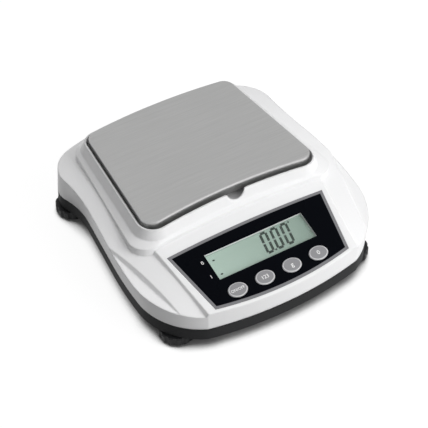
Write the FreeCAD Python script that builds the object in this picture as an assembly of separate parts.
import FreeCAD, Part
import math
import os

# Precision balance, millimetres. The user faces the front, which looks towards -Y.
# +X is to the user's right and +Z is up. The balance stands on z = 0, and the middle of its
# length and of its width is the origin.

V = FreeCAD.Vector
UP = V(0, 0, 1)
ALONG_X = V(1, 0, 0)
ALONG_Y = V(0, 1, 0)

# Body heights
ground_gap = 11.0            # the tray's underside above the table
split_z = 22.8               # where the white cover meets the dark tray
wall = 2.5                   # moulded wall of cover and tray
lip_height = 1.6             # locating lip of the tray inside the cover
lip_thickness = 1.2
lip_clearance = 0.35

# Body outline, right half: front arc, crease, corner, side, waist, back pod, back arc.
# Each value is given at the split and at the top of the flared wall.
front_y = -116.0             # middle of the front
crease_x = 70.4              # upright crease beside the front panel
crease_y = -108.2
crease_heading = (25.4, 20.0)
widest_x = (103.6, 109.4)    # over the front feet
side_radius = (350.0, 300.0)
side_heading = 97.5          # how far the sides turn in towards the waist
waist_x = (92.7, 100.3)
waist_radius = (68.0, 215.0)
pod_heading = (69.5, 85.0)   # way of the side where the pod begins
pod_radius = (20.0, 34.0)    # round the back feet
back_heading = 164.5
tray_draft = 1.6             # how far the tray narrows to its underside

# Shoulder, a barrel surface over the whole body
shoulder_top = 62.5
shoulder_peak_y = 25.0
shoulder_length_radius = 396.0
shoulder_cross_radius = 833.0
flare_height = 33.0          # height of the flared wall section above the split

# Front panel
panel_tilt = 14.0            # degrees, falls to the front
window_y = -85.9             # lower edge of the display window
window_z = 45.4              # height of the panel there
panel_back_half = 80.5
panel_back_y = -34.0
panel_skirt = 3.2            # how far the panel's sides slope out
panel_skirt_depth = 6.0
panel_overrun = 40.0         # how far the panel's block is drawn past the front
panel_overrun_back = 6.0     # and past its back, under the collar

# Lower ledges at the front corners
ledge_back_x = 104.5
ledge_back_y = -10.0
ledge_front_x = 83.5
ledge_front_y = -98.0
ledge_mid_y = -62.0
ledge_mid_z = 44.0
ledge_fall = 0.173           # fall of the ledge for each millimetre to the front
ledge_riser = 4.5            # plan width of the sloping riser behind the ledge
ledge_riser_height = 7.0
ledge_overrun = 60.0         # how far the cutting shape runs past the body

# Weighing pan
pan_top = 75.7
pan_sheet = 1.2
pan_skirt = 8.5
pan_edge_radius = 2.1
pan_half_mid = 77.6          # half-width at y = 0
pan_taper = 0.093            # half-width lost for each millimetre to the back
pan_front_y = -26.5
pan_back_y = 93.0
pan_front_bow = 1.062e-3     # the front edge curves in, the back edge out, by this times x squared
pan_back_bow = 1.031e-3
pan_corner_front = 11.0
pan_corner_back = 10.0

# Collar round the pan
rim_z = 71.0
rim_gap = 2.1                # clear all round the pan
rim_front_gap = 2.8
rim_width = 1.4
collar_foot_z = 62.3
collar_spread = 3.9          # how far the collar's wall slopes out
collar_front_spread = 3.0
flange_z = 60.0
flange_bury = 10.0           # depth of the flange's skirt inside the shoulder
flange_half_mid = 91.0
flange_taper = 0.118
flange_front_y = -37.6
flange_front_bow = 0.6e-3
flange_corner = 15.0
flange_back_y = 101.5
well_floor_z = 60.3
well_floor_thickness = 2.6
notch_x = 3.0                # finger notch in the collar's front
notch_half = 9.0
notch_depth = 3.3
notch_floor_z = 61.5

# Load cell and what it carries
cell_y = 33.0                # middle of the cell, under the middle of the pan
cell_length = 110.0
cell_width = 26.0
cell_height = 22.0
cell_base_z = 25.0
cell_window_radius = 7.0
cell_window_span = 24.0
cell_screw_inset = 9.0
cell_screw_pitch = 15.0
cell_screw_radius = 2.5
cell_screw_head = 4.4
cell_screw_sink = 4.0
cell_screw_bite = 10.0
gauge_thickness = 0.4
spacer_thickness = 3.0
stop_gap = 0.3
support_half_x = 54.0
support_half_y = 42.0
support_plate = 3.0
support_bar = 13.0
support_rib = 4.0
support_floor_gap = 1.6
cushion_radius = 6.0
cushion_height = 4.6
cushion_peg = 2.5
hub_half_x = 13.0
hub_half_y = 15.5
hub_floor = 5.0
hub_opening_gap = 3.0

# Fasteners
screw_radius = 1.5
screw_head_radius = 3.0
screw_head_height = 2.2
boss_radius = 4.2
boss_hole_gap = 0.1
screw_sink = 3.0
screw_bite = 9.0

# Display and keys, in the panel's own plane
film_thickness = 0.5
film_seat = 0.4              # recess in the panel
film_edge_gap = 0.15
film_side_low = 64.5         # half-width of the black field at the window's lower edge
film_side_slope = 0.188
film_top = 35.7
film_top_bow = 0.454e-3
film_bottom = -25.4
film_bottom_bow = 1.617e-3
film_border = 2.5
window_width = 92.0
window_height = 24.9
lens_thickness = 1.8
lcd_margin = 2.0
lcd_thickness = 1.8
backlight_thickness = 3.2
key_pitch = 25.4
key_row_s = -14.25
key_half_x = 8.3
key_half_s = 6.3
key_gap = 0.35
key_proud = 0.9
key_flange = 1.3
key_flange_thickness = 1.0
key_travel = 0.5
key_flange_gap = 0.2
key_stem_radius = 2.2
switch_size = 6.0
switch_height = 3.4
board_thickness = 1.6
board_drop = 9.2             # display board's upper face under the panel
display_board_half_x = 56.0
display_board_top_s = 34.0
display_board_low_s = -22.0

# Main board and power inlet
main_board_x = (-66.0, -22.0)
main_board_y = (38.5, 101.5)
main_board_z = 21.0
inlet_x = -45.0
inlet_width = 9.0
inlet_nose = 3.2
inlet_bore_depth = 9.0
inlet_height = 11.0
inlet_depth = 14.0
inlet_hole_radius = 4.0
inlet_bore_radius = 2.9
inlet_pin_radius = 1.0

# Battery box
battery_x = 56.0
battery_y = -6.0
cell_aa_radius = 7.1
cell_aa_length = 50.0
cell_aa_count = 4
battery_gap = 0.6
door_thickness = 2.0
door_gap = 0.3
door_travel = 22.0

# Levelling feet
foot_front = (83.4, -81.9)
foot_back = (86.5, 85.5)
foot_wheel_radius = 15.5
foot_wheel_low = 2.3
foot_wheel_gap = 1.2         # between wheel and tray with the balance at rest
foot_grips = 14
foot_grip_radius = 2.2
foot_pad_radius = 10.5
foot_pad_height = 2.0
foot_stud_radius = 4.0
foot_stud_reach = 9.5
foot_stud_gap = 0.05
foot_bush_wall = 2.0
foot_bush_height = 9.0
foot_tip_radius = 2.5
foot_tip_gap = 0.3
foot_tip_floor = 0.8
foot_boss_wall = 2.4
foot_bush_z = 11.6

foot_hole_gap = 0.6          # round the stud where it passes the tray's skin
foot_wheel_edge = 0.9
foot_wheel_web = 1.2         # floor of the wheel under the stud's shoulder
foot_grip_bite = 0.55        # share of a grip's radius that cuts into the wheel
foot_pad_edge = 0.4

# Small clearances and details
past = 60.0                  # how far a cutting shape runs past the part
sink_in = 0.5                # how far a post starts inside the floor it stands on
screw_gap = 0.2              # round a screw where it passes a part
head_gap = 0.4               # round a screw's head
cell_screw_gap = 0.3
slot_half = 0.4              # screwdriver slots
slot_depth = 0.8
cell_head_height = 3.0
board_screw_bite = 5.0
board_screw_less = 0.3       # how much smaller a board screw's head is
cell_aa_gap = 0.2            # between two cells
cell_aa_tip_radius = 2.6
cell_aa_tip = 1.4
cell_aa_cap = 1.2            # how much shorter the can is than the whole cell
contact_half = 5.0
contact_thickness = 1.0
contact_sink = 0.5           # how far a contact is let into the rack's wall
rack_wall = 2.0
rack_roof = 1.8
rack_end_gap = 1.8
rail_height = 2.0
rail_wall = 2.0
door_lap = 0.5               # how far the door's face passes the opening
door_tongue = 2.0            # how far its tongue reaches into the rails
door_play = 0.15
door_grip_start = 8.0
door_grip_pitch = 2.4
door_grip_half = 12.0
door_grip_width = 1.2
door_grip_depth = 0.5
door_grips = 5
switch_button_radius = 1.7
switch_button = 0.6
connector_width = 2.0
connector_inset = 2.4
light_margin = 1.0
carrier_inset = 3.0
lens_gap = 0.1
key_edge = 0.5
pocket_gap = 1.0
seat_margin = 2.0
board_post_inset = 4.0
board_post_back = 8.0
gauge_half = (4.0, 5.0)
cell_slit_half = 2.5
cushion_edge = 0.8
cushion_seat = 2.5
support_centre_margin = 6.0
support_centre_front = 14.0
# x and y from the main board's middle, then width, depth and height
board_chips = [(0.0, 0.0, 10.0, 10.0, 1.6), (11.0, -9.0, 4.0, 10.0, 1.5),
               (-9.0, -19.5, 10.0, 6.0, 7.0), (3.0, -18.0, 10.0, 4.0, 3.4)]
# x and y from the main board's middle, then radius and height
board_cans = [(-12.0, 14.0, 4.0, 10.0), (12.0, 10.0, 3.2, 8.0)]

# Sizes that follow
tray_floor_z = ground_gap + wall
tilt = math.radians(panel_tilt)
pan_low = pan_top - pan_skirt
pan_inside_top = pan_top - pan_sheet
support_top = pan_inside_top - cushion_height
cell_top = cell_base_z + cell_height
cell_front_y = cell_y - cell_length / 2
cell_back_y = cell_y + cell_length / 2
foot_wheel_top = ground_gap - foot_wheel_gap
foot_bush_radius = foot_stud_radius + foot_stud_gap + foot_bush_wall
feet = {
    "front_left": (-foot_front[0], foot_front[1]),
    "front_right": foot_front,
    "back_left": (-foot_back[0], foot_back[1]),
    "back_right": foot_back,
}
cover_screw_points = [(-66.0, -95.0), (66.0, -95.0), (-80.0, 8.0), (82.0, 42.0), (-71.0, 92.5),
                      (71.0, 92.5)]
key_places = [-1.5 * key_pitch, -0.5 * key_pitch, 0.5 * key_pitch, 1.5 * key_pitch]
key_names = ["key_power", "key_count", "key_unit", "key_tare"]

parts = {}


def box(x0, x1, y0, y1, z0, z1):
    """A box between two corners."""
    return Part.makeBox(x1 - x0, y1 - y0, z1 - z0, V(x0, y0, z0))


def cylinder(radius, z0, z1, x=0.0, y=0.0):
    """An upright cylinder."""
    return Part.makeCylinder(radius, z1 - z0, V(x, y, z0), UP)


def prism(wire, z0, z1):
    """A wire drawn at height 0, raised between two heights."""
    face = Part.Face(wire)
    face.translate(V(0, 0, z0))
    return face.extrude(V(0, 0, z1 - z0))


def union(shapes):
    """All shapes as one."""
    whole = shapes[0]
    if len(shapes) > 1:
        whole = whole.fuse(shapes[1:])
    return whole.removeSplitter()


def half_outline(level):
    """Points of the right half outline, start, middle and end of each arc, level 0 or 1."""
    points = [V(0, front_y, 0), V(crease_x, crease_y, 0)]
    x, y = crease_x, crease_y
    way = crease_heading[level]

    def turn(radius, to):
        """Goes along an arc; a negative radius turns right."""
        nonlocal x, y, way
        for step in (0.5 * (way + to), to):
            a0, a1 = math.radians(way), math.radians(step)
            x += radius * (math.sin(a1) - math.sin(a0))
            y += radius * (math.cos(a0) - math.cos(a1))
            way = step
            points.append(V(x, y, 0))

    start = math.sin(math.radians(way))
    turn((widest_x[level] - crease_x) / (1.0 - start), 90.0)
    turn(side_radius[level], side_heading)
    lean = math.radians(side_heading)
    straight_x = waist_x[level] + waist_radius[level] * (1.0 - math.sin(lean))
    y += (straight_x - x) / math.cos(lean) * math.sin(lean)
    x = straight_x
    points.append(V(x, y, 0))
    turn(-waist_radius[level], pod_heading[level])
    turn(pod_radius[level], back_heading)
    turn(x / math.sin(math.radians(180.0 - back_heading)), 180.0)
    return points


def body_wire(level, z, inset=0.0):
    """The body's outline at the split (level 0) or at the top of the flare (level 1)."""
    p = half_outline(level)

    def half(points):
        corner, bulge_mid, bulge, side_mid, side, line = points[1:7]
        waist_mid, waist, pod_mid, pod, back_mid, back = points[7:13]
        return [
            Part.Arc(corner, bulge_mid, bulge).toShape(),
            Part.Arc(bulge, side_mid, side).toShape(),
            Part.makeLine(side, line),
            Part.Arc(line, waist_mid, waist).toShape(),
            Part.Arc(waist, pod_mid, pod).toShape(),
            Part.Arc(pod, back_mid, back).toShape(),
        ]

    q = [V(-c.x, c.y, 0) for c in p]
    front = Part.Arc(q[1], p[0], p[1]).toShape()
    wire = Part.Wire([front] + half(p) + list(reversed(half(q))))
    if inset:
        wire = wire.makeOffset2D(-inset, 2)
    wire.translate(V(0, 0, z))
    return wire


def barrel(drop=0.0):
    """The space under the shoulder surface, which is curved along and across the body."""
    reach = 140.0
    sink = shoulder_cross_radius - math.sqrt(shoulder_cross_radius ** 2 - reach ** 2)
    top = shoulder_top - drop
    low = -20.0
    axis_z = shoulder_top - shoulder_length_radius
    arc = Part.Arc(V(-reach, shoulder_peak_y, top - sink), V(0, shoulder_peak_y, top),
                   V(reach, shoulder_peak_y, top - sink)).toShape()
    right = Part.makeLine(V(reach, shoulder_peak_y, top - sink), V(reach, shoulder_peak_y, low))
    floor = Part.makeLine(V(reach, shoulder_peak_y, low), V(-reach, shoulder_peak_y, low))
    left = Part.makeLine(V(-reach, shoulder_peak_y, low), V(-reach, shoulder_peak_y, top - sink))
    face = Part.Face(Part.Wire([arc, right, floor, left]))
    sweep = 32.0
    face.rotate(V(0, shoulder_peak_y, axis_z), ALONG_X, -sweep)
    return face.revolve(V(0, shoulder_peak_y, axis_z), ALONG_X, 2 * sweep)


def pan_like_wire(half_mid, taper, low_y, low_bow, high_y, high_bow, low_corner, high_corner):
    """Four rounded sides: a front that curves in, a back that curves out, sides that taper."""
    def corner(y0, bow):
        x = half_mid - taper * y0
        for _ in range(20):
            x = half_mid - taper * (y0 - bow * x * x)
        return x, y0 - bow * x * x

    xf, yf = corner(low_y, low_bow)
    xb, yb = corner(high_y, high_bow)
    edges = [
        Part.Arc(V(-xf, yf, 0), V(0, low_y, 0), V(xf, yf, 0)).toShape(),
        Part.makeLine(V(xf, yf, 0), V(xb, yb, 0)),
        Part.Arc(V(xb, yb, 0), V(0, high_y, 0), V(-xb, yb, 0)).toShape(),
        Part.makeLine(V(-xb, yb, 0), V(-xf, yf, 0)),
    ]
    block = Part.Face(Part.Wire(edges)).extrude(UP)
    upright = [e for e in block.Edges if abs(e.tangentAt(e.FirstParameter).z) > 0.9]
    front_edges = [e for e in upright if e.CenterOfMass.y < 0.5 * (low_y + high_y)]
    back_edges = [e for e in upright if e.CenterOfMass.y >= 0.5 * (low_y + high_y)]
    block = block.makeFillet(low_corner, front_edges)
    upright = [e for e in block.Edges if abs(e.tangentAt(e.FirstParameter).z) > 0.9]
    back_edges = [e for e in upright if e.CenterOfMass.y >= high_y - 12.0]
    block = block.makeFillet(high_corner, back_edges)
    bottom = min(block.Faces, key=lambda f: f.CenterOfMass.z)
    return bottom.OuterWire


def pan_wire(out=0.0, front_out=None):
    """The pan's outline, moved out all round."""
    ahead = out if front_out is None else front_out
    return pan_like_wire(pan_half_mid + out, pan_taper, pan_front_y - ahead, pan_front_bow,
                         pan_back_y + out, pan_back_bow, pan_corner_front + out,
                         pan_corner_back + out)


def flange_wire():
    """The outer edge of the collar's flange."""
    return pan_like_wire(flange_half_mid, flange_taper, flange_front_y, flange_front_bow,
                         flange_back_y, pan_back_bow, flange_corner, flange_corner)


def at_height(wire, z):
    """A copy of a wire drawn at height 0, moved up."""
    copy = wire.copy()
    copy.translate(V(0, 0, z))
    return copy


def on_panel(shape):
    """From the panel's own plane, x across, y up the slope from the window, to its place."""
    placed = shape.copy()
    placed.rotate(V(0, 0, 0), ALONG_X, panel_tilt)
    placed.translate(V(0, window_y, window_z))
    return placed


def ellipse_prism(half_x, half_y, z0, z1, x, y):
    """An upright elliptic cylinder."""
    ellipse = Part.Ellipse(V(x, y, z0), half_x, half_y).toShape()
    return Part.Face(Part.Wire([ellipse])).extrude(V(0, 0, z1 - z0))


def film_wire(out=0.0):
    """The outline of the display film: straight sides, curved top and bottom."""
    def side(s):
        return film_side_low + film_side_slope * s

    top_x = side(film_top) + out
    low_x = side(film_bottom) + out
    for _ in range(20):
        low_s = film_bottom + film_bottom_bow * low_x * low_x - out
        low_x = side(low_s) + out
        top_s = film_top - film_top_bow * top_x * top_x + out
        top_x = side(top_s) + out
    edges = [
        Part.Arc(V(-low_x, low_s, 0), V(0, film_bottom - out, 0), V(low_x, low_s, 0)).toShape(),
        Part.makeLine(V(low_x, low_s, 0), V(top_x, top_s, 0)),
        Part.Arc(V(top_x, top_s, 0), V(0, film_top + out, 0), V(-top_x, top_s, 0)).toShape(),
        Part.makeLine(V(-top_x, top_s, 0), V(-low_x, low_s, 0)),
    ]
    return Part.Wire(edges)


# Body envelope of the cover
flare_z = split_z + flare_height
envelope = Part.makeLoft([body_wire(0, split_z), body_wire(1, flare_z)], True, True)
envelope = envelope.fuse(prism(body_wire(1, 0.0), flare_z, flare_z + 20.0))
shoulder = envelope.common(barrel())


def panel_block(top, out):
    """The raised front panel with its sloping sides, in the panel's own plane."""
    slope = (panel_back_half - crease_x) / (panel_back_y - crease_y)
    back_s = (panel_back_y - window_y) / math.cos(tilt) + panel_overrun_back
    front_s = (crease_y - panel_overrun - window_y) / math.cos(tilt)
    front_half = panel_back_half - slope * (panel_back_y - window_y - front_s * math.cos(tilt))
    upper = [V(-front_half - out, front_s, top), V(front_half + out, front_s, top),
             V(panel_back_half + out, back_s, top), V(-panel_back_half - out, back_s, top)]
    sides = out + panel_skirt
    deep = top - panel_skirt_depth
    lower = [V(-front_half - sides, front_s, deep), V(front_half + sides, front_s, deep),
             V(panel_back_half + sides, back_s, deep), V(-panel_back_half - sides, back_s, deep)]
    block = Part.makeLoft([Part.makePolygon(lower + lower[:1]),
                           Part.makePolygon(upper + upper[:1])], True, True)
    return on_panel(block)


def above_panel(half, height, s0, s1):
    """The space over the panel's plane."""
    return on_panel(box(-half, half, s0, s1, height, height + past))


# Top cover: shoulder, raised panel, collar and well
panel_low_s = -60.0
panel_high_s = 66.0
panel = panel_block(0.0, 0.0).common(envelope)
cover = shoulder.cut(above_panel(crease_x + 4.0, 0.0, panel_low_s, 52.0))
cover = cover.fuse(panel)

rim_wire = pan_wire(rim_gap, rim_front_gap)
rim_outer = pan_wire(rim_gap + rim_width, rim_front_gap + rim_width)
foot_wire = pan_wire(rim_gap + rim_width + collar_spread,
                     rim_front_gap + rim_width + collar_front_spread)
flange = flange_wire()
collar = Part.makeLoft([at_height(foot_wire, collar_foot_z), at_height(rim_outer, rim_z)],
                       True, True)
apron = Part.makeLoft([at_height(flange, flange_z), at_height(foot_wire, collar_foot_z)],
                      True, True)
skirt = prism(flange, flange_z - flange_bury, flange_z)
cover = cover.fuse([collar, apron, skirt])

# Lower ledges beyond the straight creases


def ledge_tool(side, inset):
    """What is cut away over a ledge, moved into the body by an inset."""
    back = V(side * ledge_back_x, ledge_back_y, 0)
    ahead = V(side * ledge_front_x, ledge_front_y, 0)
    way = ahead.sub(back).normalize()
    out = V(-way.y, way.x, 0)
    if out.x * side < 0:
        out = out.negative()
    fall = ledge_fall * abs(way.y)
    start = back - way * ledge_overrun - out * inset
    start.z = ledge_mid_z + ledge_fall * (back.y - ledge_mid_y) + fall * ledge_overrun - inset
    lean = ledge_riser / ledge_riser_height
    section = [start + out * ledge_riser, start + out * past, start + out * past + UP * past,
               start + UP * past - out * (past - ledge_riser_height) * lean,
               start + UP * ledge_riser_height]
    run = V(way.x, way.y, -fall) * (4.0 * ledge_overrun)
    return Part.Face(Part.makePolygon(section + section[:1])).extrude(run)


collar_keep = prism(flange, split_z, rim_z + 5.0)
for side in (-1, 1):
    cover = cover.cut(ledge_tool(side, 0.0).cut(collar_keep))

# Hollow inside the cover
inner = Part.makeLoft([body_wire(0, split_z, wall), body_wire(1, flare_z, wall)], True, True)
inner = inner.fuse(prism(body_wire(0, 0.0, wall), split_z - 1.0, split_z))
pocket = on_panel(box(-display_board_half_x - pocket_gap, display_board_half_x + pocket_gap,
                      display_board_low_s - pocket_gap, display_board_top_s + pocket_gap, -past,
                      -wall))
pocket = pocket.common(inner)
inner = inner.common(barrel(wall + 0.4))
inner = inner.cut(above_panel(130.0, -wall, -80.0, 80.0))
inner = inner.fuse(pocket)
for side in (-1, 1):
    inner = inner.cut(ledge_tool(side, wall))
cover = cover.cut(inner)
cover = cover.fuse(prism(foot_wire, well_floor_z - well_floor_thickness, well_floor_z + 0.5))
cover = cover.cut(prism(rim_wire, well_floor_z, rim_z + past))
notch_y = pan_front_y - rim_front_gap
cover = cover.cut(ellipse_prism(notch_half, notch_depth, notch_floor_z, rim_z + past, notch_x,
                                notch_y))
hub_y = cell_back_y - cell_screw_inset - cell_screw_pitch / 2
cover = cover.cut(box(-hub_half_x - hub_opening_gap, hub_half_x + hub_opening_gap,
                      hub_y - hub_half_y - hub_opening_gap, hub_y + hub_half_y + hub_opening_gap,
                      cell_top, well_floor_z + wall))

# Screw bosses of the cover, and their holes
for x, y in cover_screw_points:
    boss = cylinder(boss_radius, split_z, rim_z - 5.0, x, y).common(inner)
    boss = boss.cut(prism(rim_wire, well_floor_z - well_floor_thickness, rim_z))
    cover = cover.fuse(boss)
    cover = cover.cut(cylinder(screw_radius + boss_hole_gap, split_z - 1.0, split_z + screw_bite,
                               x, y))

# Display opening, film recess and key holes
cover = cover.cut(on_panel(prism(film_wire(film_border + film_edge_gap), -film_seat, 10.0)))
window = box(-window_width / 2, window_width / 2, 0.0, window_height, -past, past)
cover = cover.cut(on_panel(window))
for x in key_places:
    cover = cover.cut(on_panel(ellipse_prism(key_half_x + key_gap, key_half_s + key_gap,
                                             -wall - 1.0, 1.0, x, key_row_s)))
board_screws = [(sx * (display_board_half_x - 4.0), s) for sx in (-1, 1)
                for s in (display_board_low_s + 4.0, display_board_top_s - 4.0)]
for x, s in board_screws:
    cover = cover.fuse(on_panel(cylinder(boss_radius, -board_drop, -wall + 0.01, x, s)))
    cover = cover.cut(on_panel(cylinder(screw_radius + boss_hole_gap, -board_drop - 1.0,
                                        -wall - 1.0, x, s)))

# Inlet hole in the back wall
inlet_z = main_board_z + board_thickness + inlet_height / 2
cover = cover.cut(Part.makeCylinder(inlet_hole_radius, past, V(inlet_x, main_board_y[1] + 1.0,
                                                                  inlet_z), ALONG_Y))
parts["top_cover"] = cover.removeSplitter()


# Tray
def foot_boss_radius():
    return foot_stud_radius + foot_stud_gap + foot_bush_wall + foot_boss_wall


tray = Part.makeLoft([body_wire(0, ground_gap, tray_draft), body_wire(0, split_z)], True, True)
tray_inner = Part.makeLoft([body_wire(0, tray_floor_z, tray_draft + wall),
                            body_wire(0, split_z, wall)], True, True)
tray = tray.cut(tray_inner)
lip_outer = prism(body_wire(0, 0.0, wall + lip_clearance), tray_floor_z, split_z + lip_height)
lip_inner = prism(body_wire(0, 0.0, wall + lip_clearance + lip_thickness), tray_floor_z,
                  split_z + lip_height + 1.0)
lip = lip_outer.cut(lip_inner)
root = prism(body_wire(0, 0.0, wall - 0.5), split_z - 3.0, split_z - 0.8).cut(lip_inner)
tray = tray.fuse([lip, root])

# Cell seat, stop post, board posts and cover screw posts
fixed_y = cell_front_y + cell_screw_inset + cell_screw_pitch / 2
fixed_half_y = cell_screw_inset + cell_screw_pitch / 2
seat_z = cell_base_z - spacer_thickness
seat_half = cell_width / 2 + seat_margin
tray = tray.fuse(box(-seat_half, seat_half, cell_front_y - seat_margin,
                     cell_front_y + 2 * fixed_half_y + seat_margin, tray_floor_z - sink_in, seat_z))
stop_y = cell_back_y - cell_screw_inset
post_top_stop = cell_base_z - 4.0
tray = tray.fuse(cylinder(boss_radius + 2.0, tray_floor_z - sink_in, post_top_stop, 0.0, stop_y))
board_posts = [(x, y) for x in (main_board_x[0] + board_post_inset,
                                main_board_x[1] - board_post_inset)
               for y in (main_board_y[0] + board_post_inset, main_board_y[1] - board_post_back)]
for x, y in board_posts:
    tray = tray.fuse(cylinder(boss_radius, tray_floor_z - sink_in, main_board_z, x, y))
for x, y in cover_screw_points:
    tray = tray.fuse(cylinder(boss_radius, tray_floor_z - sink_in, split_z, x, y))
for x, y in feet.values():
    boss = cylinder(foot_boss_radius(), tray_floor_z - sink_in, foot_bush_z + foot_bush_height + 1.0,
                    x, y)
    tray = tray.fuse(boss)

# Battery box
rack_half_x = cell_aa_count / 2 * (2 * cell_aa_radius + cell_aa_gap) + battery_gap
rack_half_y = cell_aa_length / 2 + rack_end_gap
door_top_z = ground_gap + door_thickness
aa_z = door_top_z + battery_gap + cell_aa_radius
rack_top_z = aa_z + cell_aa_radius + battery_gap
rack_out_x = rack_half_x + rack_wall
rack_out_y = rack_half_y + rack_wall
rack = box(battery_x - rack_out_x, battery_x + rack_out_x, battery_y - rack_out_y,
           battery_y + rack_out_y, tray_floor_z - sink_in, rack_top_z + rack_roof)
rail_half = rack_half_x + door_tongue + rail_wall
rails = box(battery_x - rail_half, battery_x + rail_half,
            battery_y - rack_out_y - contact_thickness - door_travel,
            battery_y + rack_out_y + contact_thickness, tray_floor_z - sink_in,
            door_top_z + rail_height)
tray = tray.fuse([rack, rails])
tray = tray.cut(box(battery_x - rack_half_x, battery_x + rack_half_x, battery_y - rack_half_y,
                    battery_y + rack_half_y, ground_gap - 1.0, rack_top_z))
door_y0 = battery_y - rack_half_y - 1.0
door_y1 = battery_y + rack_half_y + 1.0
door_half = rack_half_x + door_lap
tongue_half = rack_half_x + door_tongue
channel_y = door_y0 - door_travel - door_lap
tongue_z = ground_gap + door_thickness / 2
tray = tray.cut(box(battery_x - door_half, battery_x + door_half, channel_y, door_y1, 0.0,
                    door_top_z))
tray = tray.cut(box(battery_x - tongue_half, battery_x + tongue_half, channel_y, door_y1, tongue_z,
                    door_top_z))
door = box(battery_x - door_half + door_gap, battery_x + door_half - door_gap,
           door_y0 + door_gap, door_y1 - door_gap, ground_gap, door_top_z - door_play)
door = door.fuse(box(battery_x - tongue_half + door_gap, battery_x + tongue_half - door_gap,
                     door_y0 + door_gap, door_y1 - door_gap, tongue_z + door_play,
                     door_top_z - door_play))
for i in range(door_grips):
    y = door_y0 + door_grip_start + door_grip_pitch * i
    door = door.cut(box(battery_x - door_grip_half, battery_x + door_grip_half, y,
                        y + door_grip_width, 0.0, ground_gap + door_grip_depth))
parts["battery_door"] = door.removeSplitter()
aa = []
contacts = []
for i in range(cell_aa_count):
    x = battery_x + (i - (cell_aa_count - 1) / 2) * (2 * cell_aa_radius + cell_aa_gap)
    way = 1 if i % 2 == 0 else -1
    low = V(x, battery_y - cell_aa_length / 2 + (cell_aa_cap if way < 0 else 0.0), aa_z)
    can = Part.makeCylinder(cell_aa_radius, cell_aa_length - cell_aa_cap, low, ALONG_Y)
    tip_y = battery_y + way * cell_aa_length / 2 - (cell_aa_tip if way > 0 else 0.0)
    tip = Part.makeCylinder(cell_aa_tip_radius, cell_aa_tip, V(x, tip_y, aa_z), ALONG_Y)
    aa.append(can.fuse(tip))
    for end in (-1, 1):
        y0 = battery_y + end * (rack_half_y - contact_sink) - contact_thickness / 2
        plate = box(x - contact_half, x + contact_half, y0, y0 + contact_thickness,
                    aa_z - contact_half, aa_z + contact_half)
        contacts.append(plate)
parts["battery_cells"] = Part.makeCompound(aa)
parts["battery_contacts"] = Part.makeCompound(contacts)

# Holes of the tray
for x, y in cover_screw_points:
    tray = tray.cut(cylinder(screw_radius + screw_gap, 0.0, past, x, y))
    tray = tray.cut(cylinder(screw_head_radius + head_gap, 0.0, ground_gap + screw_sink, x, y))
for x, y in feet.values():
    tray = tray.cut(cylinder(foot_stud_radius + foot_hole_gap, 0.0, past, x, y))
    tray = tray.cut(cylinder(foot_bush_radius + foot_stud_gap, foot_bush_z, past, x, y))
for x, y in board_posts:
    tray = tray.cut(cylinder(screw_radius + boss_hole_gap, main_board_z - board_screw_bite - 1.0,
                             past, x, y))
fixed_screws = [cell_front_y + cell_screw_inset, cell_front_y + cell_screw_inset + cell_screw_pitch]
free_screws = [cell_back_y - cell_screw_inset, cell_back_y - cell_screw_inset - cell_screw_pitch]
for y in fixed_screws:
    tray = tray.cut(cylinder(cell_screw_radius + cell_screw_gap, 0.0, past, 0.0, y))
    tray = tray.cut(cylinder(cell_screw_head + head_gap, 0.0, ground_gap + cell_screw_sink, 0.0, y))
tray = tray.cut(cylinder(cell_screw_radius + boss_hole_gap, tray_floor_z + 1.0, past, 0.0,
                         stop_y))
notch_x_half = inlet_width / 2 + sink_in
tray = tray.cut(box(inlet_x - notch_x_half, inlet_x + notch_x_half, main_board_y[1] - wall,
                    main_board_y[1] + past, main_board_z + board_thickness - door_gap, past))
parts["base_tray"] = tray.removeSplitter()


def screw(x, y, head_z, length, radius, head_radius, head_height, up=True):
    """A screw with its head at head_z and its shank going up (or down)."""
    way = 1 if up else -1
    shank = Part.makeCylinder(radius, length, V(x, y, head_z), UP * way)
    head = Part.makeCylinder(head_radius, head_height, V(x, y, head_z), UP * -way)
    top_z = head_z - way * head_height
    slot = box(x - head_radius, x + head_radius, y - slot_half, y + slot_half, top_z - slot_depth,
               top_z + slot_depth)
    return shank.fuse(head).cut(slot)


cover_screws = []
for x, y in cover_screw_points:
    cover_screws.append(screw(x, y, ground_gap + screw_sink, split_z - ground_gap - screw_sink
                              + screw_bite - 1.0, screw_radius, screw_head_radius,
                              screw_head_height))
parts["cover_screws"] = Part.makeCompound(cover_screws)

# Load cell, spacers and its screws
cell = box(-cell_width / 2, cell_width / 2, cell_front_y, cell_back_y, cell_base_z, cell_top)
cell_mid_z = (cell_base_z + cell_top) / 2
for end in (-1, 1):
    y = cell_y + end * cell_window_span / 2
    cell = cell.cut(Part.makeCylinder(cell_window_radius, cell_width + 2,
                                      V(-cell_width / 2 - 1, y, cell_mid_z), ALONG_X))
cell = cell.cut(box(-cell_width, cell_width, cell_y - cell_window_span / 2,
                    cell_y + cell_window_span / 2, cell_mid_z - cell_slit_half,
                    cell_mid_z + cell_slit_half))
for y in fixed_screws:
    cell = cell.cut(cylinder(cell_screw_radius + boss_hole_gap, 0.0,
                             cell_base_z + cell_screw_bite + sink_in, 0.0, y))
for y in free_screws:
    cell = cell.cut(cylinder(cell_screw_radius + boss_hole_gap, cell_top - cell_screw_bite - sink_in,
                             cell_top + past, 0.0, y))
parts["load_cell"] = cell
gauges = []
for z0 in (cell_base_z - gauge_thickness, cell_top):
    for end in (-1, 1):
        y = cell_y + end * cell_window_span / 2
        gauges.append(box(-gauge_half[0], gauge_half[0], y - gauge_half[1], y + gauge_half[1], z0,
                          z0 + gauge_thickness))
parts["strain_gauges"] = Part.makeCompound(gauges)


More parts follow.
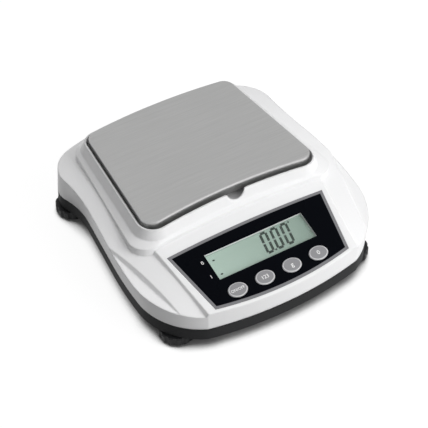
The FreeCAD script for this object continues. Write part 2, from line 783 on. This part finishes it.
def spacer(y_mid, half_y, z0):
    """A plate between the cell and what it is fastened to."""
    plate = box(-cell_width / 2, cell_width / 2, y_mid - half_y, y_mid + half_y, z0,
                z0 + spacer_thickness)
    for step in (-0.5, 0.5):
        plate = plate.cut(cylinder(cell_screw_radius + cell_screw_gap, 0.0, z0 + past, 0.0,
                                   y_mid + step * cell_screw_pitch))
    return plate


parts["cell_spacer_base"] = spacer(fixed_y, fixed_half_y, seat_z)
parts["cell_spacer_top"] = spacer(hub_y, fixed_half_y, cell_top)
parts["cell_screws_base"] = Part.makeCompound([
    screw(0.0, y, ground_gap + cell_screw_sink, cell_base_z + cell_screw_bite - ground_gap
          - cell_screw_sink, cell_screw_radius, cell_screw_head, cell_head_height)
    for y in fixed_screws])

# Pan support, cushions and screws
plate_z = support_top - support_plate
rib_low_z = well_floor_z + support_floor_gap
hub_low_z = cell_top + spacer_thickness
arms = []
reach = math.hypot(support_half_x, support_half_y)
swing = math.degrees(math.atan2(support_half_y, support_half_x))
for turn_by in (swing, -swing):
    arm = box(-reach, reach, -support_bar / 2, support_bar / 2, plate_z, support_top)
    rib = box(-reach, reach, -support_rib / 2, support_rib / 2, rib_low_z, plate_z)
    both = arm.fuse(rib)
    both.rotate(V(0, 0, 0), UP, turn_by)
    both.translate(V(0, cell_y, 0))
    arms.append(both)
for sx in (-1, 1):
    for sy in (-1, 1):
        arms.append(cylinder(cushion_radius + cushion_seat, plate_z, support_top, sx * support_half_x,
                             cell_y + sy * support_half_y))
centre_half = hub_half_x + support_centre_margin
centre = box(-centre_half, centre_half, cell_y - support_centre_front, hub_y + hub_half_y, plate_z,
             support_top)
hub = box(-hub_half_x, hub_half_x, hub_y - hub_half_y, hub_y + hub_half_y, hub_low_z, plate_z)
support = union(arms + [centre, hub])
head_seat = hub_low_z + hub_floor
for y in free_screws:
    support = support.cut(cylinder(cell_screw_radius + cell_screw_gap, 0.0, hub_low_z + past, 0.0, y))
    support = support.cut(cylinder(cell_screw_head + head_gap, head_seat, head_seat + past, 0.0, y))
for sx in (-1, 1):
    for sy in (-1, 1):
        support = support.cut(cylinder(cushion_peg + boss_hole_gap, 0.0, plate_z + past,
                                       sx * support_half_x, cell_y + sy * support_half_y))
parts["pan_support"] = support.removeSplitter()
parts["cell_screws_top"] = Part.makeCompound([
    screw(0.0, y, head_seat, head_seat - cell_top + cell_screw_bite, cell_screw_radius,
          cell_screw_head, cell_head_height, up=False) for y in free_screws])
cushions = []
for sx in (-1, 1):
    for sy in (-1, 1):
        x, y = sx * support_half_x, cell_y + sy * support_half_y
        disc = cylinder(cushion_radius, support_top, pan_inside_top, x, y)
        top_edge = [e for e in disc.Edges if abs(e.CenterOfMass.z - pan_inside_top) < 1e-6]
        disc = disc.makeChamfer(cushion_edge, top_edge)
        cushions.append(disc.fuse(cylinder(cushion_peg, plate_z, support_top, x, y)))
parts["pan_cushions"] = Part.makeCompound(cushions)
parts["overload_stop"] = cylinder(cell_screw_radius, tray_floor_z + 1.0 + stop_gap, cell_base_z - stop_gap,
                                  0.0, stop_y)

# Weighing pan: one drawn sheet with its edge turned down
pan = prism(pan_wire(), pan_low, pan_top)
top_edges = [e for e in pan.Edges if e.BoundBox.ZMin > pan_top - 0.01]
pan = pan.makeFillet(pan_edge_radius, top_edges)
pan_inside = prism(pan_wire(-pan_sheet), pan_low - 1.0, pan_inside_top)
top_edges = [e for e in pan_inside.Edges if e.BoundBox.ZMin > pan_inside_top - 0.01]
pan_inside = pan_inside.makeFillet(pan_edge_radius - pan_sheet, top_edges)
parts["weighing_pan"] = pan.cut(pan_inside)

# Display film, lens, display, board, switches and keys
film = prism(film_wire(film_border), -film_seat, film_thickness - film_seat)
film = film.cut(box(-window_width / 2, window_width / 2, 0.0, window_height, -2.0, 2.0))
for x in key_places:
    film = film.cut(ellipse_prism(key_half_x + key_gap, key_half_s + key_gap, -2.0, 2.0, x,
                                  key_row_s))
film_top_z = film_thickness - film_seat
parts["display_film"] = on_panel(film)
parts["display_lens"] = on_panel(box(-window_width / 2 + lens_gap, window_width / 2 - lens_gap,
                                     lens_gap, window_height - lens_gap,
                                     film_top_z - lens_thickness, film_top_z))
lcd_top = -wall - lens_gap
lcd_low = lcd_top - lcd_thickness
light_low = lcd_low - backlight_thickness
board_top = -board_drop
parts["lcd_panel"] = on_panel(box(-window_width / 2 - lcd_margin, window_width / 2 + lcd_margin,
                                  -lcd_margin, window_height + lcd_margin, lcd_low, lcd_top))
parts["lcd_backlight"] = on_panel(box(-window_width / 2 - light_margin,
                                      window_width / 2 + light_margin, -light_margin,
                                      window_height - light_margin, light_low, lcd_low))
strip_s = window_height + lcd_margin - connector_inset
parts["lcd_connector"] = on_panel(box(-window_width / 2, window_width / 2, strip_s,
                                      strip_s + connector_width, board_top, lcd_low))
parts["lcd_carrier"] = on_panel(box(-window_width / 2 - light_margin,
                                    window_width / 2 + light_margin, light_margin,
                                    window_height - carrier_inset, board_top, light_low))
board = box(-display_board_half_x, display_board_half_x, display_board_low_s,
            display_board_top_s, board_top - board_thickness, board_top)
for x, s in board_screws:
    board = board.cut(cylinder(screw_radius + screw_gap, board_top - past, board_top + past, x, s))
parts["display_board"] = on_panel(board)
board_screw_length = board_thickness + board_screw_bite
board_head_radius = screw_head_radius - board_screw_less
board_head_height = screw_head_height - board_screw_less
display_screws = [screw(x, s, board_top - board_thickness, board_screw_length, screw_radius,
                        board_head_radius, board_head_height) for x, s in board_screws]
parts["display_board_screws"] = on_panel(Part.makeCompound(display_screws))
switches = []
button_top = board_top + switch_height
for x in key_places:
    body = box(x - switch_size / 2, x + switch_size / 2, key_row_s - switch_size / 2,
               key_row_s + switch_size / 2, board_top, button_top - switch_button)
    switches.append(body.fuse(cylinder(switch_button_radius, button_top - switch_button,
                                      button_top, x, key_row_s)))
parts["key_switches"] = on_panel(Part.makeCompound(switches))
for name, x in zip(key_names, key_places):
    crown = ellipse_prism(key_half_x, key_half_s, -wall - key_flange_gap, key_proud, x, key_row_s)
    rim = [e for e in crown.Edges if e.BoundBox.ZMin > key_proud - 0.01]
    crown = crown.makeChamfer(key_edge, rim)
    base = ellipse_prism(key_half_x + key_flange, key_half_s + key_flange,
                         -wall - key_flange_gap - key_flange_thickness, -wall - key_flange_gap,
                         x, key_row_s)
    stem = cylinder(key_stem_radius, button_top + key_travel + lens_gap, -wall - key_flange_gap, x,
                    key_row_s)
    parts[name] = on_panel(union([crown, base, stem]))

# Main board, its parts, screws and the power inlet
board = box(main_board_x[0], main_board_x[1], main_board_y[0], main_board_y[1], main_board_z,
            main_board_z + board_thickness)
for x, y in board_posts:
    board = board.cut(cylinder(screw_radius + screw_gap, 0.0, past, x, y))
parts["main_board"] = board
board_face = main_board_z + board_thickness
parts["main_board_screws"] = Part.makeCompound([
    screw(x, y, board_face, board_screw_length, screw_radius, board_head_radius,
          board_head_height, up=False) for x, y in board_posts])
chip_x = 0.5 * (main_board_x[0] + main_board_x[1])
chip_y = 0.5 * (main_board_y[0] + main_board_y[1])
chips = []
for x, y, width, depth, height in board_chips:
    chips.append(box(chip_x + x - width / 2, chip_x + x + width / 2, chip_y + y - depth / 2,
                     chip_y + y + depth / 2, board_face, board_face + height))
for x, y, radius, height in board_cans:
    chips.append(cylinder(radius, board_face, board_face + height, chip_x + x, chip_y + y))
parts["main_board_components"] = Part.makeCompound(chips)
inlet_low_y = main_board_y[1] - 7.6
inlet = box(inlet_x - inlet_width / 2, inlet_x + inlet_width / 2, inlet_low_y,
            inlet_low_y + inlet_depth, board_face, board_face + inlet_height)
inlet_end = inlet_low_y + inlet_depth + inlet_nose
inlet = inlet.fuse(Part.makeCylinder(inlet_hole_radius - 0.3, inlet_nose,
                                     V(inlet_x, inlet_low_y + inlet_depth, inlet_z), ALONG_Y))
inlet = inlet.cut(Part.makeCylinder(inlet_bore_radius, inlet_bore_depth + 1.0,
                                    V(inlet_x, inlet_end - inlet_bore_depth, inlet_z), ALONG_Y))
pin = Part.makeCylinder(inlet_pin_radius, inlet_bore_depth - 1.0,
                        V(inlet_x, inlet_end - inlet_bore_depth - 0.5, inlet_z), ALONG_Y)
parts["power_inlet"] = inlet.fuse(pin)

# Levelling feet
bushes = []
for name, (x, y) in feet.items():
    bush = cylinder(foot_bush_radius, foot_bush_z, foot_bush_z + foot_bush_height, x, y)
    bushes.append(bush.cut(cylinder(foot_stud_radius + foot_stud_gap, 0.0, past, x, y)))
    wheel = cylinder(foot_wheel_radius, foot_wheel_low, foot_wheel_top, x, y)
    rims = [e for e in wheel.Edges if e.Length > 2 * math.pi * foot_pad_radius]
    wheel = wheel.makeChamfer(foot_wheel_edge, rims)
    for i in range(foot_grips):
        angle = 2 * math.pi * i / foot_grips
        far = foot_wheel_radius + foot_grip_radius * (1.0 - foot_grip_bite)
        wheel = wheel.cut(cylinder(foot_grip_radius, 0.0, past, x + far * math.cos(angle),
                                   y + far * math.sin(angle)))
    shoulder_z = foot_wheel_low + foot_wheel_web
    wheel = wheel.cut(cylinder(foot_stud_radius + foot_stud_gap, shoulder_z, past, x, y))
    wheel = wheel.cut(cylinder(foot_tip_radius + foot_stud_gap, 0.0, past, x, y))
    stud = cylinder(foot_stud_radius, shoulder_z, foot_wheel_top + foot_stud_reach, x, y)
    stud = stud.fuse(cylinder(foot_tip_radius, foot_tip_floor + foot_tip_gap, shoulder_z, x, y))
    pad = cylinder(foot_pad_radius, 0.0, foot_pad_height, x, y)
    pad = pad.makeChamfer(foot_pad_edge, [e for e in pad.Edges if e.Length > foot_pad_radius * 6])
    pad = pad.cut(cylinder(foot_tip_radius + foot_tip_gap, foot_tip_floor, past, x, y))
    parts["foot_wheel_" + name] = wheel
    parts["foot_stud_" + name] = stud
    parts["foot_pad_" + name] = pad
parts["foot_bushes"] = Part.makeCompound(bushes)


def write_parts():
    """Writes each node to its own file."""
    os.makedirs("parts", exist_ok=True)
    for name, shape in parts.items():
        if not shape.isValid():
            print("not valid:", name)
        shape.exportStep(os.path.join("parts", name + ".step"))


write_parts()
print(len(parts), "nodes")
